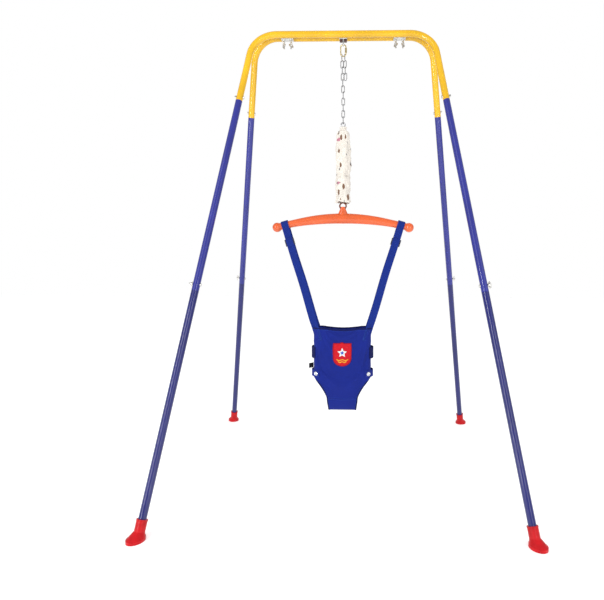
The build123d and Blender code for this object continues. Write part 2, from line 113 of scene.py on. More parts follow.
def add_node(material, kind, **values):
    node = material.node_tree.nodes.new(kind)
    for key, value in values.items():
        if hasattr(node, key):
            setattr(node, key, value)
        else:
            node.inputs[key.replace("_", " ")].default_value = value
    return node


def link(material, source, target):
    material.node_tree.links.new(source, target)


def mapped(material, space="Object", scale=(1, 1, 1)):
    """Texture coordinates of the given kind, scaled."""
    coords = add_node(material, "ShaderNodeTexCoord")
    mapping = add_node(material, "ShaderNodeMapping")
    mapping.inputs["Scale"].default_value = scale
    link(material, coords.outputs[space], mapping.inputs["Vector"])
    return mapping.outputs["Vector"]


def ramp(material, factor, stops):
    """Colour ramp driven by factor, with two (position, colour) stops."""
    node = add_node(material, "ShaderNodeValToRGB")
    for element, (position, colour) in zip(node.color_ramp.elements, stops):
        element.position = position
        element.color = (*colour, 1)
    link(material, factor, node.inputs["Fac"])
    return node.outputs["Color"]


def mottled(material, factor, colour, dark, light=1.0, start=0.3, end=0.7):
    """Colour ramp from a darker to a lighter shade of one colour."""
    shades = [tuple(min(1.0, c * strength) for c in colour) for strength in (dark, light)]
    return ramp(material, factor, [(start, shades[0]), (end, shades[1])])


def paint(material, shader, tone):
    link(material, tone, shader.inputs["Base Color"])


def noise_texture(material, vector, scale, detail=3.0, roughness=0.5):
    node = add_node(material, "ShaderNodeTexNoise", Scale=scale, Detail=detail, Roughness=roughness)
    link(material, vector, node.inputs["Vector"])
    return node.outputs["Fac"]


def bump(material, shader, height, strength, distance):
    node = add_node(material, "ShaderNodeBump", Strength=strength, Distance=distance)
    link(material, height, node.inputs["Height"])
    link(material, node.outputs["Normal"], shader.inputs["Normal"])


def roughness_from(material, shader, factor, low, high):
    node = add_node(material, "ShaderNodeMapRange")
    node.inputs["To Min"].default_value = low
    node.inputs["To Max"].default_value = high
    link(material, factor, node.inputs["Value"])
    link(material, node.outputs["Result"], shader.inputs["Roughness"])


def enamel(name, colour):
    """Gloss enamel on tube: faint orange peel, slight unevenness of colour and gloss, fine rubbed marks."""
    material, shader = node_tree(name, Coat_Weight=0.9, Coat_Roughness=0.05, Coat_IOR=1.42, IOR=1.3)
    vector = mapped(material)
    broad = noise_texture(material, vector, scale=9)
    paint(material, shader, mottled(material, broad, colour, dark=0.88, light=1.1))
    along_tube = mapped(material, scale=(60, 60, 14))
    rubbed = noise_texture(material, along_tube, scale=4, detail=6, roughness=0.7)
    roughness_from(material, shader, rubbed, low=0.12, high=0.28)
    peel = noise_texture(material, vector, scale=420, detail=2)
    bump(material, shader, peel, strength=0.05, distance=0.6 * MM)
    return material


def rubber(name, colour):
    """Moulded rubber with a matt, finely pitted skin."""
    material, shader = node_tree(name, Coat_Weight=0.2, Coat_Roughness=0.12, Coat_IOR=1.35, IOR=1.25)
    vector = mapped(material)
    dusty = noise_texture(material, vector, scale=45, detail=5)
    paint(material, shader, mottled(material, dusty, colour, dark=0.75, light=1.12))
    worn = noise_texture(material, vector, scale=130, detail=4)
    roughness_from(material, shader, worn, low=0.28, high=0.5)
    bump(material, shader, noise_texture(material, vector, scale=900), strength=0.12, distance=0.5 * MM)
    return material


def metal(name, colour, low=0.22, high=0.42):
    """Plated steel with cloudy plating and fine grain."""
    material, shader = node_tree(name, Metallic=1.0)
    vector = mapped(material)
    cloudy = noise_texture(material, vector, scale=160, detail=4)
    paint(material, shader, mottled(material, cloudy, colour, dark=0.72))
    roughness_from(material, shader, cloudy, low, high)
    bump(material, shader, noise_texture(material, vector, scale=700), strength=0.12, distance=0.3 * MM)
    return material


def threaded(name, colour, pitch, axis):
    """Plated steel with a screw thread cut across the given axis, and painted shade in the thread's grooves."""
    material, shader = node_tree(name, Metallic=1.0, Roughness=0.34)
    turns = add_node(material, "ShaderNodeTexWave", wave_type="BANDS", bands_direction=axis, Scale=1.0)
    link(material, mapped(material, scale=(WAVE_REPEAT / pitch,) * 3), turns.inputs["Vector"])
    # Painted shade: the colour darkens to 0.45 of the plating in the thread's grooves, following the bump's height
    paint(material, shader, mottled(material, turns.outputs["Fac"], colour, dark=0.45, start=0, end=0.5))
    bump(material, shader, turns.outputs["Fac"], strength=0.6, distance=0.6 * MM)
    return material


def plastic(name, colour, low, high):
    """Moulded plastic with faint flow marks and a light mould texture."""
    material, shader = node_tree(name, Coat_Weight=0.35, Coat_Roughness=0.12)
    vector = mapped(material)
    along_bar = mapped(material, scale=(6, 24, 24))
    flow = noise_texture(material, along_bar, scale=1.6, detail=4, roughness=0.6)
    paint(material, shader, mottled(material, flow, colour, dark=0.88, light=1.12, end=0.72))
    roughness_from(material, shader, noise_texture(material, vector, scale=60, detail=5), low, high)
    bump(material, shader, noise_texture(material, vector, scale=600), strength=0.06, distance=0.5 * MM)
    return material


def woven(name, colour, warp, weft, fade=0.16):
    """Cloth whose UVs are in metres: crossed threads with painted shade in the gaps between them and painted
    highlight on their crowns, faded patches, a soft sheen.
    """
    material, shader = node_tree(name, Sheen_Weight=0.06, Sheen_Roughness=0.45, Specular_IOR_Level=0.12)
    threads = add_node(material, "ShaderNodeMath", operation="MULTIPLY")
    for index, (direction, pitch) in enumerate((("X", warp), ("Y", weft))):
        wave = add_node(
            material, "ShaderNodeTexWave", bands_direction=direction, Scale=1.0, Distortion=0.6
        )
        link(material, mapped(material, "UV", (WAVE_REPEAT / pitch,) * 3), wave.inputs["Vector"])
        link(material, wave.outputs["Fac"], threads.inputs[index])
    thread = threads.outputs["Value"]
    # Painted shade and highlight: the colour is darker in the low gaps between the crossed threads and lighter on
    # their crowns, following the bump
    thread_tone = mottled(material, thread, colour, dark=0.72, light=1.12, start=0.0, end=0.6)
    patchy = noise_texture(material, mapped(material, "UV"), scale=14, detail=5, roughness=0.6)
    fade_tone = mottled(material, patchy, (1, 1, 1), dark=1 - fade)
    mix = add_node(material, "ShaderNodeMix", data_type="RGBA", blend_type="MULTIPLY")
    mix.inputs["Factor"].default_value = 1.0
    link(material, thread_tone, mix.inputs[6])
    link(material, fade_tone, mix.inputs[7])
    paint(material, shader, mix.outputs[2])
    roughness_from(material, shader, patchy, low=0.68, high=0.9)
    bump(material, shader, thread, strength=0.45, distance=0.6 * MM)
    return material


def printed_cloth(name, colour, prints):
    """Thin off-white cotton with a scatter of generic printed blots, one layer for each print colour."""
    material, shader = node_tree(name, Sheen_Weight=0.3, Specular_IOR_Level=0.2, Roughness=0.85)
    vector = mapped(material, "UV")
    stained = noise_texture(material, vector, scale=22, detail=4)
    tone = mottled(material, stained, colour, dark=0.88, light=1.06)
    soft_edge, bend = 0.05, (0.012, 0.012, 0.0)
    for index, (ink, scale, threshold, stretch) in enumerate(prints):
        place = add_node(material, "ShaderNodeMapping")
        place.inputs["Location"].default_value = (0.37 * index, 0.61 * index, 0)
        place.inputs["Rotation"].default_value = (0, 0, 0.5 + 0.9 * index)
        place.inputs["Scale"].default_value = (stretch, 1, 1)
        link(material, vector, place.inputs["Vector"])
        wander = add_node(material, "ShaderNodeTexNoise", Scale=95.0, Detail=2.0)
        link(material, place.outputs["Vector"], wander.inputs["Vector"])
        bent = add_node(material, "ShaderNodeVectorMath", operation="MULTIPLY_ADD")
        link(material, wander.outputs["Color"], bent.inputs[0])
        bent.inputs[1].default_value = bend
        link(material, place.outputs["Vector"], bent.inputs[2])
        cells = add_node(material, "ShaderNodeTexVoronoi", Scale=scale, Randomness=0.9)
        link(material, bent.outputs["Vector"], cells.inputs["Vector"])
        stops = [(threshold, (1, 1, 1)), (threshold + soft_edge, (0, 0, 0))]
        mix = add_node(material, "ShaderNodeMix", data_type="RGBA")
        link(material, ramp(material, cells.outputs["Distance"], stops), mix.inputs["Factor"])
        link(material, tone, mix.inputs[6])
        mix.inputs[7].default_value = (*ink, 1)
        tone = mix.outputs[2]
    paint(material, shader, tone)
    weave = noise_texture(material, vector, scale=1400, detail=2)
    bump(material, shader, weave, strength=0.25, distance=0.4 * MM)
    return material


YELLOW = (0.66, 0.38, 0.010)
BLUE = (0.022, 0.026, 0.21)
NAVY = (0.010, 0.012, 0.115)
RED = (0.48, 0.006, 0.010)
ORANGE = (0.62, 0.095, 0.018)
WEBBING_BLUE = (0.008, 0.026, 0.22)
CANVAS = (0.008, 0.020, 0.23)
TAPE = (0.004, 0.008, 0.085)
TWILL_RED = (0.60, 0.012, 0.022)
COTTON = (0.66, 0.62, 0.56)
# Ink, cells per metre, size of a blot in its cell, stretch
PRINTS = (
    ((0.16, 0.085, 0.05), 26, 0.24, 1.9),
    ((0.42, 0.16, 0.22), 30, 0.13, 0.6),
    ((0.10, 0.10, 0.11), 34, 0.17, 2.6),
)

finishes = {
    "yellow_enamel": enamel("yellow enamel", YELLOW),
    "blue_enamel": enamel("blue enamel", BLUE),
    "navy_enamel": enamel("navy enamel", NAVY),
    "red_rubber": rubber("red rubber", RED),
    "zinc_steel": metal("zinc plate", (0.74, 0.73, 0.70)),
    "yellow_zinc": metal("yellow zinc plate", (0.82, 0.66, 0.30)),
    "chain_steel": metal("chain plate", (0.42, 0.42, 0.43), low=0.32, high=0.5),
    "spring_steel": metal("spring wire", (0.50, 0.50, 0.52), low=0.25, high=0.4),
    "bronzed_steel": metal("bronzed steel", (0.22, 0.06, 0.03), low=0.35, high=0.55),
    "brown_plastic": plastic("brown nylon", (0.055, 0.012, 0.008), low=0.4, high=0.55),
    "orange_plastic": plastic("orange plastic", ORANGE, low=0.2, high=0.34),
    "navy_plastic": plastic("navy acetal", (0.003, 0.005, 0.035), low=0.34, high=0.5),
    "webbing": woven("blue webbing", WEBBING_BLUE, warp=2.2 * MM, weft=1.5 * MM),
    "seat_fabric": woven("blue canvas", CANVAS, warp=1.1 * MM, weft=1.1 * MM),
    "binding_tape": woven("navy tape", TAPE, warp=1.0 * MM, weft=2.0 * MM),
    "patch_cloth": woven("red twill", TWILL_RED, warp=0.8 * MM, weft=1.3 * MM),
    "label_cloth": woven("black label tape", (0.006, 0.006, 0.010), warp=0.7 * MM, weft=1.0 * MM),
    "cover_cloth": printed_cloth("printed cotton", COTTON, PRINTS),
    "stud_metal": metal("polished stud", (0.86, 0.88, 0.92), low=0.08, high=0.2),
}
white_thread, gold_thread, blue_thread = (
    woven(f"{colour_name} thread", colour, warp=0.5 * MM, weft=0.5 * MM, fade=0.05)
    for colour_name, colour in (
        ("white", (0.80, 0.80, 0.78)), ("gold", (0.80, 0.36, 0.03)), ("blue", (0.03, 0.09, 0.50)),
    )
)
border_thread = woven("dark red thread", (0.34, 0.006, 0.012), warp=0.6 * MM, weft=1.1 * MM)
screw_thread = threaded("stud thread", (0.72, 0.71, 0.68), 0.8 * MM, "Z")

# The stand and its hardware keep their CAD shapes, shaded smooth with their sharp edges
node_slots = {row["node"]: row["material_slot"] for row in frame["record"]["subparts"]}
for node_name, obj in nodes.items():
    finish = finishes[node_slots[node_name]]
    if node_name == "clamp_studs":
        finish = screw_thread
    elif node_name.endswith("lower_leg"):
        finish = finishes["navy_enamel"]
    obj.data.materials.clear()
    obj.data.materials.append(finish)
    obj.data.shade_smooth()
    obj.data.set_sharp_from_angle(angle=SHARP_ANGLE)


# -------- mesh helpers

STITCH_LENGTH = 2.6 * MM
STITCH_GAP = 1.3 * MM
STITCH_WIDTH = 0.45 * MM
STITCH_STEPS = 4
STITCH_SIDES = 6
SECTION_UV_STEP = 1.2 * MM
LATHE_STEPS = 40


def mesh_object(name, points, faces, material, uvs=None):
    """A new object from points and faces. uvs gives one pair for each point."""
    mesh = bpy.data.meshes.new(name)
    mesh.from_pydata([tuple(p) for p in points], [], faces)
    if uvs:
        layer = mesh.uv_layers.new(name="UVMap")
        for loop in mesh.loops:
            layer.data[loop.index].uv = uvs[loop.vertex_index]
    mesh.materials.append(material)
    for polygon in mesh.polygons:
        polygon.use_smooth = True
    mesh.update()
    obj = bpy.data.objects.new(name, mesh)
    scene.collection.objects.link(obj)
    return obj


def grid_faces(rows, columns, wrap=False):
    """Quads of a grid of points that is stored row by row. wrap joins the last column to the first."""
    faces = []
    for r in range(rows - 1):
        for c in range(columns if wrap else columns - 1):
            d = (c + 1) % columns
            faces.append((r * columns + c, r * columns + d, (r + 1) * columns + d, (r + 1) * columns + c))
    return faces


def grid_object(name, rows, material, uvs, wrap=False):
    flat = [p for row in rows for p in row]
    flat_uvs = [uv for row in uvs for uv in row]
    return mesh_object(name, flat, grid_faces(len(rows), len(rows[0]), wrap), material, flat_uvs)


def surface_tree(rows):
    """The surface of a grid of points, for finding the nearest place on it."""
    points = [p for row in rows for p in row]
    return BVHTree.FromPolygons(points, grid_faces(len(rows), len(rows[0])))


def apply_modifiers(obj):
    """Replaces the mesh by the evaluated one, so that no modifier is left."""
    graph = bpy.context.evaluated_depsgraph_get()
    mesh = bpy.data.meshes.new_from_object(obj.evaluated_get(graph))
    obj.modifiers.clear()
    obj.data = mesh


def thicken(obj, thickness, subdivide=0):
    """Gives a surface its thickness, half on each side, and rounds it if subdivide is set."""
    solid = obj.modifiers.new("thickness", "SOLIDIFY")
    solid.thickness = thickness
    solid.offset = 0.0
    if subdivide:
        smooth = obj.modifiers.new("smooth", "SUBSURF")
        smooth.levels = smooth.render_levels = subdivide
    apply_modifiers(obj)


def section_sweep(name, path, normals, section, material, closed=False):
    """Sweeps a closed section, given as (across, out) pairs, along path. normals point out of the surface."""
    rows, uvs, run = [], [], 0.0
    count, columns = len(path), len(section)
    for i, point in enumerate(path):
        before = path[i - 1] if i or closed else point
        after = path[(i + 1) % count] if i < count - 1 or closed else point
        tangent = (after - before).normalized()
        across = normals[i].cross(tangent).normalized()
        out = tangent.cross(across)
        if i:
            run += (point - path[i - 1]).length
        rows.append([point + across * a + out * b for a, b in section])
        uvs.append([(k * SECTION_UV_STEP, run) for k in range(columns)])
    if closed:
        return grid_object(name, rows + rows[:1], material, uvs + uvs[:1], True)
    obj = grid_object(name, rows, material, uvs, True)
    shell = bmesh.new()
    shell.from_mesh(obj.data)
    shell.verts.ensure_lookup_table()
    shell.faces.new([shell.verts[c] for c in reversed(range(columns))])
    shell.faces.new([shell.verts[(count - 1) * columns + c] for c in range(columns)])
    shell.to_mesh(obj.data)
    shell.free()
    return obj


def ellipse_section(across, out, count=12):
    angles = [2 * pi * k / count for k in range(count)]
    return [(across * cos(t), out * sin(t)) for t in angles]


def stitches(name, path, normals, material, lift):
    """A row of separate stitches along path, each a small bowed thread that lies lift above the cloth."""
    lengths = [0.0]
    for a, b in zip(path, path[1:]):
        lengths.append(lengths[-1] + (b - a).length)

    def at(distance):
        i = next((k for k in range(1, len(lengths)) if lengths[k] >= distance), len(lengths) - 1)
        span = lengths[i] - lengths[i - 1] or 1.0
        t = (distance - lengths[i - 1]) / span
        return path[i - 1].lerp(path[i], t), normals[i - 1].lerp(normals[i], t).normalized()

    points, faces, uvs = [], [], []
    start = STITCH_GAP
    while start + STITCH_LENGTH < lengths[-1]:
        base = len(points)
        for step in range(STITCH_STEPS + 1):
            share = step / STITCH_STEPS
            distance = start + STITCH_LENGTH * share
            centre, normal = at(distance)
            ahead = at(min(distance + 0.5 * MM, lengths[-1]))[0]
            behind = at(max(distance - 0.5 * MM, 0))[0]
            side = normal.cross((ahead - behind).normalized())
            bow = sin(pi * share)
            thick = STITCH_WIDTH * (0.55 + 0.45 * bow)
            centre = centre + normal * (lift - STITCH_WIDTH * 0.7 * (1 - bow))
            for k in range(STITCH_SIDES):
                angle = 2 * pi * k / STITCH_SIDES
                points.append(centre + side * thick * cos(angle) + normal * thick * sin(angle))
                uvs.append((k * 0.3 * MM, distance))
        for step in range(STITCH_STEPS):
            ring = base + step * STITCH_SIDES
            for k in range(STITCH_SIDES):
                a, b = ring + k, ring + (k + 1) % STITCH_SIDES
                faces.append((a, b, b + STITCH_SIDES, a + STITCH_SIDES))
        last_ring = base + STITCH_STEPS * STITCH_SIDES
        faces.append(tuple(base + k for k in reversed(range(STITCH_SIDES))))
        faces.append(tuple(last_ring + k for k in range(STITCH_SIDES)))
        start += STITCH_LENGTH + STITCH_GAP
    return mesh_object(name, points, faces, material, uvs)


def lathe(name, profile, centre, axis, material):
    """Turns a profile of (radius, height) pairs about an axis through centre."""
    turn = Vector((0, 0, 1)).rotation_difference(axis).to_matrix()
    angles = [2 * pi * k / LATHE_STEPS for k in range(LATHE_STEPS)]
    rows = [
        [centre + turn @ Vector((radius * cos(a), radius * sin(a), height)) for a in angles]
        for radius, height in profile
    ]
    uvs = [[(radius * a, height) for a in angles] for radius, height in profile]
    return grid_object(name, rows, material, uvs, True)


def finish_piece(obj, body, slot, *replaced):
    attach(obj, body)
    if replaced:
        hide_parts(*replaced)
    return obj


def sew(name, path, normals, lift):
    """Blue stitches on the harness."""
    finish_piece(stitches(name, path, normals, blue_thread, lift), "harness", "webbing")


# -------- seat

SEAT_ROWS = 190
SEAT_COLUMNS = 61
SEAT_LENGTH = 2 * (SEAT_TOP - CROTCH_Z) + pi * SEAT_DEPTH
WAIST_Z = 375 * MM
TOP_SAG = 8 * MM
EAR_WIDTH, EAR_START = 4 * MM, 0.88
TAB_FLARE, TAB_FLARE_HEIGHT = 2.5 * MM, 26 * MM
SLING_FLARE = 5 * MM
LEG_CURVE = 1.35
PANEL_THICKNESS = 1.8 * MM
BINDING_INSET, BINDING_DROP = 2.0 * MM, 1.6 * MM
SEAM_INSET, SEAM_DROP = 5.2 * MM, 6.2 * MM
CROTCH_SEAM_GAP = 3.5 * MM

# Where the cloth is held while it settles, and how firmly
STRAP_HOLD_HEIGHT, STRAP_HOLD_X = 45 * MM, 68 * MM
ELASTIC_HOLD_X, TAB_HOLD_X, PATCH_HOLD_X = 92 * MM, 74 * MM, 26 * MM
PATCH_HOLD, TOP_HOLD, TOP_HOLD_HEIGHT = 0.12, 0.25, 6 * MM
DRAPE_FRAMES = 26
DRAPE_LIMIT, DRAPE_EXCESS = 11 * MM, 0.05


def shell_depth(x):
    """Distance of the seat's outer face from its middle plane, at a place across the waist."""
    run = max(0.0, abs(x) - (SEAT_HALF - SEAT_CORNER))
    return SEAT_DEPTH - SEAT_CORNER + sqrt(max(0.0, SEAT_CORNER**2 - run**2))


def half_width(z):
    """Half the width of a seat panel at a height: straight to the leg holes, then an inward curve."""
    if z >= LEG_HOLE_TOP:
        share = (z - LEG_HOLE_TOP) / (SEAT_TOP - LEG_HOLE_TOP)
        ear = EAR_WIDTH * max(0.0, (share - EAR_START) / (1 - EAR_START)) ** 1.5
        tab = TAB_FLARE * exp(-(((z - STUD_Z) / TAB_FLARE_HEIGHT) ** 2))
        return SEAT_EDGE - 1 * MM + ear + tab
    share = (LEG_HOLE_TOP - z) / (LEG_HOLE_TOP - CROTCH_Z)
    wide, narrow = SEAT_EDGE + 1.2 * MM, CROTCH_HALF + SLING_FLARE
    return narrow + (wide - narrow) * (1 - share) ** LEG_CURVE


def seat_point(u, distance):
    """Point of the seat's cloth: u from -1 to 1 across, distance along it from front top to rear top."""
    straight = SEAT_TOP - CROTCH_Z
    bend = pi * SEAT_DEPTH
    if distance < straight or distance > straight + bend:
        front = distance < straight
        z = SEAT_TOP - distance if front else CROTCH_Z + distance - straight - bend
        x = u * half_width(z)
        rise = smoothstep((z - WAIST_Z) / (SEAT_TOP - WAIST_Z))
        depth = shell_depth(x) - TOP_SAG * (1 - u * u) * rise
        return Vector((x, -depth if front else depth, z))
    turn = (distance - straight) / SEAT_DEPTH
    x = u * (CROTCH_HALF + SLING_FLARE * abs(cos(turn)) ** 3)
    depth = shell_depth(x)
    return Vector((x, -depth * cos(turn), CROTCH_Z - depth * sin(turn)))


def seat_grid():
    rows, uvs = [], []
    for r in range(SEAT_ROWS):
        distance = SEAT_LENGTH * r / (SEAT_ROWS - 1)
        row = [seat_point(spread(c, SEAT_COLUMNS), distance) for c in range(SEAT_COLUMNS)]
        rows.append(row)
        uvs.append([(p.x, distance) for p in row])
    return rows, uvs


def hold(point):
    """How firmly the straps, elastics, tabs, patch or top hold a point of the seat's cloth."""
    x = abs(point.x)
    if (
        (point.z > SEAT_TOP - STRAP_HOLD_HEIGHT and x > STRAP_HOLD_X)
        or (elastic_low.z < point.z < elastic_high.z and x > ELASTIC_HOLD_X)
        or (tab_low.z < point.z < tab_high.z and x > TAB_HOLD_X)
    ):
        return 1.0
    if patch_low.z - 4 * MM < point.z < patch_high.z and x < PATCH_HOLD_X and point.y < 0:
        return PATCH_HOLD
    return TOP_HOLD if point.z > SEAT_TOP - TOP_HOLD_HEIGHT else 0.0


def drape_seat(cloth, start):
    """Lets the seat's cloth settle with a little slack. A point may move about DRAPE_LIMIT."""
    held = cloth.vertex_groups.new(name="held")
    for i, point in enumerate(start):
        firmness = hold(point)
        if firmness:
            held.add([i], firmness, "REPLACE")
    modifier = cloth.modifiers.new("cloth", "CLOTH")
    settings = modifier.settings
    settings.quality = 6
    settings.mass = 0.35
    settings.tension_stiffness = settings.compression_stiffness = 25
    settings.shear_stiffness = 12
    settings.bending_stiffness = 1.2
    settings.shrink_min = -0.022
    settings.vertex_group_mass = "held"
    modifier.point_cache.frame_start = 1
    modifier.point_cache.frame_end = DRAPE_FRAMES
    for step in range(1, DRAPE_FRAMES + 1):
        scene.frame_set(step)
    apply_modifiers(cloth)
    scene.frame_set(1)
    for vertex, point in zip(cloth.data.vertices, start):
        move = vertex.co - point
        if move.length > DRAPE_LIMIT:
            reach = DRAPE_LIMIT + (move.length - DRAPE_LIMIT) * DRAPE_EXCESS
            vertex.co = point + move.normalized() * reach


seat_rows, seat_uvs = seat_grid()
seat_start = [p for row in seat_rows for p in row]
seat_cloth = grid_object("seat_cloth", seat_rows, finishes["seat_fabric"], seat_uvs)
drape_seat(seat_cloth, seat_start)
row_starts = range(0, SEAT_ROWS * SEAT_COLUMNS, SEAT_COLUMNS)
settled = [seat_cloth.data.vertices[i : i + SEAT_COLUMNS] for i in row_starts]
seat_rows = [[vertex.co.copy() for vertex in row] for row in settled]
seat_normals = [[vertex.normal.copy() for vertex in row] for row in settled]
if seat_normals[SEAT_ROWS // 6][SEAT_COLUMNS // 2].y > 0:
    seat_normals = [[-n for n in row] for row in seat_normals]

# The cloth is cut into its three sewn parts, and each gets its thickness
front_end = round((SEAT_TOP - CROTCH_Z) / SEAT_LENGTH * (SEAT_ROWS - 1))
rear_start = SEAT_ROWS - 1 - front_end
for part_name, first, last, node_name in (
    ("front_panel_cloth", 0, front_end, "seat_front_panel"),
    ("crotch_cloth", front_end, rear_start, "crotch_sling"),
    ("rear_panel_cloth", rear_start, SEAT_ROWS - 1, "seat_rear_panel"),
):
    part_rows = seat_rows[first : last + 1]
    panel = grid_object(part_name, part_rows, finishes["seat_fabric"], seat_uvs[first : last + 1])
    thicken(panel, PANEL_THICKNESS, subdivide=1)
    finish_piece(panel, "harness", "seat_fabric", node_name)
bpy.data.objects.remove(seat_cloth)

seat_surface = surface_tree(seat_rows)


def on_seat(point, lift):
    """The point of the seat's cloth nearest to a point, lifted off its outer face, and the normal there."""
    place, normal, _, _ = seat_surface.find_nearest(point)
    outward = Vector((place.x, place.y * 3, min(0, place.z - CROTCH_Z)))
    if normal.dot(outward) < 0:
        normal = -normal
    return place + normal * lift, normal


def side_run(column):
    return [row[column] for row in seat_rows], [row[column] for row in seat_normals]


def top_run(row_index):
    return seat_rows[row_index], seat_normals[row_index]


# Bindings round the panels' edges, each with a row of stitches beside it
binding_section = ellipse_section(2.8 * MM, 1.9 * MM, 14)
for name, (path, normals), inward in (
    ("left_binding", side_run(0), 1),
    ("right_binding", side_run(SEAT_COLUMNS - 1), -1),
    ("front_top_binding", top_run(0), 0),
    ("rear_top_binding", top_run(SEAT_ROWS - 1), 0),
):
    tape_shift = Vector((inward * BINDING_INSET, 0, 0)) if inward else Vector((0, 0, -BINDING_DROP))
    seam_shift = Vector((inward * SEAM_INSET, 0, 0)) if inward else Vector((0, 0, -SEAM_DROP))
    tape_path = [point + tape_shift for point in path]
    tape = section_sweep(name, tape_path, normals, binding_section, finishes["binding_tape"])
    replaced = ["seat_bindings"] if name == "front_top_binding" else []
    finish_piece(tape, "harness", "binding_tape", *replaced)
    seam = [on_seat(point + seam_shift, 0)[0] for point in path]
    sew(f"{name}_stitches", seam, [on_seat(p, 0)[1] for p in seam], 1.5 * MM)

# The seams where the sling is sewn to the panels
crotch_section = ellipse_section(1.6 * MM, 1.5 * MM)
for name, row_index in (("front_crotch", front_end), ("rear_crotch", rear_start)):
    path = [on_seat(p, 0)[0] for p in seat_rows[row_index][2:-2]]
    normals = [on_seat(p, 0)[1] for p in path]
    seam = section_sweep(f"{name}_seam", path, normals, crotch_section, finishes["seat_fabric"])
    finish_piece(seam, "harness", "seat_fabric")
    for edge, offset in (("low", -CROTCH_SEAM_GAP), ("high", CROTCH_SEAM_GAP)):
        line = [on_seat(p + Vector((0, 0, offset)), 0)[0] for p in path]
        sew(f"{name}_stitches_{edge}", line, normals, 1.4 * MM)


# -------- side bands and press studs

SIDE_STEPS = 40
BAND_LIFT = 2.2 * MM
BAND_COLUMNS = 17
BAND_THICKNESS = 1.3 * MM
GATHER_HEIGHT, GATHER_PITCH = 0.9 * MM, 1.25 * MM
CORNER_X, CORNER_Y = SEAT_HALF - SEAT_CORNER, SEAT_DEPTH - SEAT_CORNER
STUD_LIFT, STUD_BASE = 1.9 * MM, 0.9 * MM
# Radius and height of a press stud's cap, in mm: a dished middle and a rolled rim
STUD_PROFILE = (
    (0.0, 1.5), (2.2, 1.4), (3.4, 1.1), (3.9, 1.3), (4.5, 2.3),
    (5.6, 2.7), (6.7, 2.4), (7.4, 1.5), (7.5, 0.6), (7.2, 0.0),
)


def side_path(hand, reach):
    """Points and outward normals round one side of the seat, from the front face to the rear face."""
    radius = SEAT_CORNER + BAND_LIFT
    start = asin(max(-1.0, min(1.0, (reach - CORNER_X) / radius)))
    points = []
    for k in range(SIDE_STEPS + 1):
        angle = start + (pi / 2 - start) * k / SIDE_STEPS
        normal = Vector((hand * sin(angle), -cos(angle), 0))
        points.append((Vector((hand * CORNER_X, -CORNER_Y, 0)) + normal * radius, normal))
    return points + [
        (Vector((p.x, -p.y, 0)), Vector((n.x, -n.y, 0))) for p, n in reversed(points)
    ]


def side_band(name, hand, reach, low, high, slot, ruche, replaced):
    """A band round one side of the seat. ruche is the height of its gathers."""
    path = side_path(hand, reach)
    rows, uvs, run = [], [], 0.0
    for i, (point, normal) in enumerate(path):
        if i:
            run += (point - path[i - 1][0]).length
        row = []
        for c in range(BAND_COLUMNS):
            share = c / (BAND_COLUMNS - 1)
            gather = ruche * (0.5 + 0.5 * sin(run / GATHER_PITCH + 0.8 * sin(share * 9)))
            row.append(point + normal * gather + Vector((0, 0, low + (high - low) * share)))
        rows.append(row)
        uvs.append([(low + (high - low) * c / (BAND_COLUMNS - 1), run) for c in range(BAND_COLUMNS)])
    band = grid_object(name, rows, finishes[slot], uvs)
    thicken(band, BAND_THICKNESS, subdivide=1)
    finish_piece(band, "harness", slot, *(replaced if hand < 0 else []))


for name, hand in SIDES:
    side_band(
        f"{name}_elastic_band", hand, 95 * MM, elastic_low.z, elastic_high.z,
        "binding_tape", GATHER_HEIGHT, ["side_elastics"],
    )
    side_band(
        f"{name}_tab_band", hand, 79 * MM, tab_low.z, tab_high.z, "seat_fabric", 0.0, ["stud_tabs"],
    )
    for edge, z in (("low", tab_low.z + 2.4 * MM), ("high", tab_high.z - 2.4 * MM)):
        run = side_path(hand, 80 * MM)
        line = [p + Vector((0, 0, z)) for p, n in run]
        sew(f"{name}_tab_stitches_{edge}", line, [n for p, n in run], 0.75 * MM)

for name, hand in SIDES:
    run = STUD_X - CORNER_X
    radius = SEAT_CORNER + STUD_LIFT
    normal = Vector((hand * run, -sqrt(radius**2 - run**2), 0)).normalized()
    centre = Vector((hand * CORNER_X, -CORNER_Y, STUD_Z)) + normal * (radius + STUD_BASE)
    profile = [(r * MM, h * MM) for r, h in STUD_PROFILE]
    cap = lathe(f"{name}_press_stud", profile, centre, normal, finishes["stud_metal"])
    finish_piece(cap, "harness", "stud_metal", *(["press_stud_caps"] if hand < 0 else []))


# -------- patch and label

PATCH_HALF = (patch_high.x - patch_low.x) / 2
PATCH_TOP = patch_high.z
PATCH_FOOT = patch_low.z
PATCH_SHOULDER = PATCH_TOP - (PATCH_TOP - PATCH_FOOT) * 0.62
PATCH_MIDDLE = (PATCH_TOP + PATCH_FOOT) / 2
SHIELD_ROWS, SHIELD_COLUMNS = 41, 31
BORDER_STEPS, BORDER_TOP_STEPS = 60, 24
STAR_POINTS, STAR_STEPS, STAR_RINGS = 5, 8, 6
STAR_Z = PATCH_MIDDLE + 6 * MM
BAR_POINTS = 25
LABEL_ROWS, LABEL_COLUMNS = 19, 25
LABEL_SEWN = 5 * MM


def shield_half(z):
    """Half width of the shield at a height."""
    if z > PATCH_SHOULDER:
        share = (PATCH_TOP - z) / (PATCH_TOP - PATCH_SHOULDER)
        return PATCH_HALF * (1 + 0.02 * sin(pi * share))
    drop = (PATCH_SHOULDER - z) / (PATCH_SHOULDER - PATCH_FOOT)
    return PATCH_HALF * sqrt(max(0.0, 1 - drop**2.4))


def on_front(x, z, lift):
    return on_seat(Vector((x, -SEAT_DEPTH, z)), lift)


